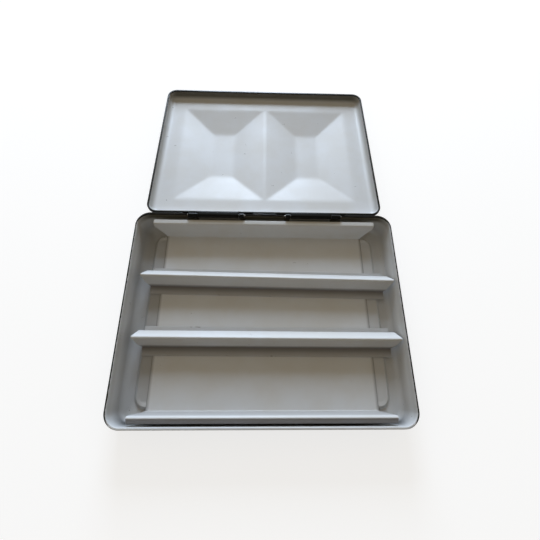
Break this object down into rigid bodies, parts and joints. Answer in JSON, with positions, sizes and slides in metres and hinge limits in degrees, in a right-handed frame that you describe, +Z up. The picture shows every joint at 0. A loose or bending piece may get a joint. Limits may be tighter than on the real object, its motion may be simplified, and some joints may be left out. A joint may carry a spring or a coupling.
{
  "type": "watercolour travel tin",
  "caption": "Shallow enamelled sheet-metal paint box with a hinged lid pressed into mixing wells and a lift-out insert whose folded rails hold paint pans in rows.",
  "frame": {"origin": "centre of the base's underside, in the plane of the table that it stands on", "axes": "+Z up out of the base, +Y from the base's front edge towards the hinges and the opened lid, +X to the right along the hinge line"},
  "size_m": [0.14, 0.2091, 0.015],
  "materials": {
    "tin_enamel": "gloss, white inside and black outside",
    "black_enamel": "gloss",
    "white_enamel": "gloss",
    "steel_wire": "satin"
  },
  "bodies": {
    "base": {"base_tray": "tin_enamel", "base_hinge_plate_left": "black_enamel", "base_hinge_plate_right": "black_enamel", "hinge_pin_left": "steel_wire", "hinge_pin_right": "steel_wire"},
    "lid": {"lid_shell": "tin_enamel", "lid_hinge_plate_left": "black_enamel", "lid_hinge_plate_right": "black_enamel"},
    "insert": {"insert_tray": "white_enamel", "middle_rail_back": "white_enamel", "middle_rail_front": "white_enamel"}
  },
  "joints": [
    {"name": "lid_hinge", "type": "hinge", "parent": "base", "child": "lid", "pos_m": [0, 0.05275, 0.0138], "axis": [1, 0, 0], "range_deg": [0, 184.02]},
    {"name": "insert_lift", "type": "slide", "parent": "base", "child": "insert", "axis": [0, 0, 1], "range_m": [0, 0.03]}
  ]
}
